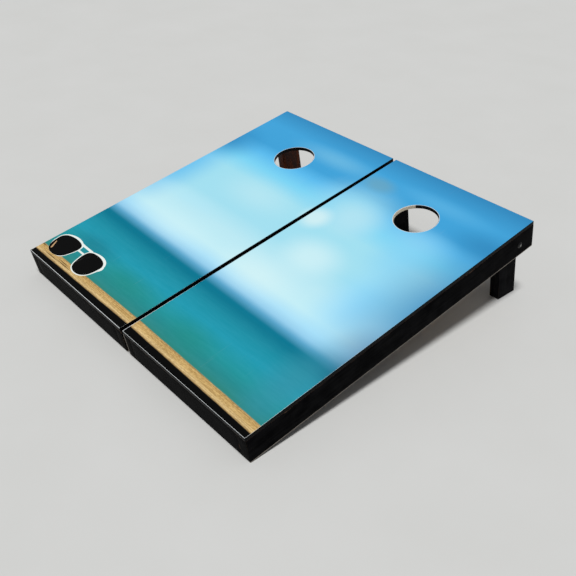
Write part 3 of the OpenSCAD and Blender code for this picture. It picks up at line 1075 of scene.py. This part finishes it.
def wing_nut(board, flank):
    """A cast wing nut: the CAD shape with its edges melted together as a casting's are."""
    node = frame["nodes"][f"{board}_{flank}_wing_nut"]
    source = new_object("casting", node.data.copy())
    remesh = source.modifiers.new("melt", "REMESH")
    remesh.mode, remesh.voxel_size = "VOXEL", CASTING_VOXEL
    soften = source.modifiers.new("soften", "SMOOTH")
    soften.factor, soften.iterations = 0.5, 6
    bm = turned(modified(source), PLACE[board].inverted())
    bpy.data.meshes.remove(source.data)
    piece(board, f"{flank}_wing_nut_casting", bm, f"{flank}_wing_nut", [ZINC], f"{flank}_nut", 60)


def plain_hardware(board, part):
    """Screws keep their CAD shape and get the zinc plate."""
    obj = frame["nodes"][f"{board}_{part}"]
    obj.data.materials.clear()
    obj.data.materials.append(ZINC)


# ---- stage ----

CAMERA_AT = (1.839, -1.510, 1.606)
CAMERA_AZIMUTH = math.radians(49.37)
CAMERA_ELEVATION = math.radians(34.26)
CAMERA_LENS = 50.59
FLOOR_SIZE = 120
WORLD_STRENGTH = 0.24
KEY_FROM, KEY_STRENGTH, KEY_SPREAD = (0.22, -0.22, 1.0), 2.5, math.radians(12)


def make_camera():
    data = bpy.data.cameras.new("camera")
    data.lens, data.sensor_width = CAMERA_LENS, 36
    camera = new_object("camera", data)
    camera.location = CAMERA_AT
    camera.rotation_euler = (math.pi / 2 - CAMERA_ELEVATION, 0, CAMERA_AZIMUTH)
    bpy.context.scene.camera = camera


def make_light():
    """One light from far away, spread as a large diffuser spreads it."""
    data = bpy.data.lights.new("key", "SUN")
    data.energy, data.angle = KEY_STRENGTH, KEY_SPREAD
    light = new_object("key", data)
    light.rotation_euler = (-Vector(KEY_FROM)).to_track_quat("-Z", "Y").to_euler()


def make_floor():
    bpy.ops.mesh.primitive_plane_add(size=FLOOR_SIZE)
    floor = bpy.context.object
    floor.name = "studio_floor"
    g = Graph("studio_floor")
    place = g.node("ShaderNodeTexCoord").outputs["Object"]
    colour = g.mix(g.noise(place, 3.0, 3.0), (208, 208, 205), (214, 214, 212))
    floor.data.materials.append(g.finish(colour, 0.75, specular=0.2))


def make_world():
    world = bpy.data.worlds.new("studio")
    world.use_nodes = True
    background = world.node_tree.nodes["Background"]
    background.inputs["Color"].default_value = (0.95, 0.97, 1.0, 1.0)
    background.inputs["Strength"].default_value = WORLD_STRENGTH
    bpy.context.scene.world = world
    bpy.context.scene.view_settings.view_transform = "Standard"


# ---- the pair ----

random.seed(7)


def next_seed():
    """A number of its own for a piece's grain and dents."""
    return random.random() * 40


BLACK = black_paint()
LEFT_RAIL_BLACK = black_paint("left_rail_black_paint", scuff_highlight_side=-1)
RIGHT_RAIL_BLACK = black_paint("right_rail_black_paint", scuff_highlight_side=1)
LEG_BLACK = black_paint("leg_black_paint", wear=0.8, lift=1.5)
PINE = stained_wood("raw_pine", (196, 156, 106), (222, 190, 142))
WALNUT = stained_wood("walnut_stain", (66, 27, 8), (106, 50, 20))
BIRCH = birch_face()
PLY_EDGE = painted_ply_edge()
ZINC = zinc()
HEAD = painted_head()
# The right board's hole wall gets painted shade on the side turned from the key light; the left board's
# is black all round.
WALLS = {
    "left": cut_plywood("painted_hole_wall", (1, 0, 0), -2.0),
    "right": cut_plywood("bare_hole_wall_painted_shade", (0.77, 0.64, 0), -0.05),
}
SHEET = [
    vinyl("vinyl_margin", plain_print(226, 230, 230)),
    vinyl("vinyl_scene", printed_scene),
    vinyl("vinyl_white_print", plain_print(240, 246, 240)),
    vinyl("vinyl_black_print", plain_print(6, 6, 6)),
    vinyl("vinyl_tan_print", plain_print(196, 160, 118)),
]

for board in BOARDS:
    deck(board, WALLS[board])
    vinyl_sheet(board, SHEET if board == "left" else SHEET[:PRINT + 1])
    for part in ("front_rail", "centre_brace", "rear_rail"):
        cross_rail(board, part, next_seed())
    for part in ("deck_screws", "pocket_screws"):
        plain_hardware(board, part)
    for flank in FLANKS:
        side_rail(board, flank, next_seed())
        leg(board, flank, next_seed(), WALNUT if board == "left" else LEG_BLACK)
        carriage_bolt(board, flank)
        washer(board, flank, "spacer_washer", "board", random.random())
        washer(board, flank, "flat_washer", f"{flank}_nut", random.random())
        wing_nut(board, flank)

make_floor()
make_world()
make_camera()
make_light()
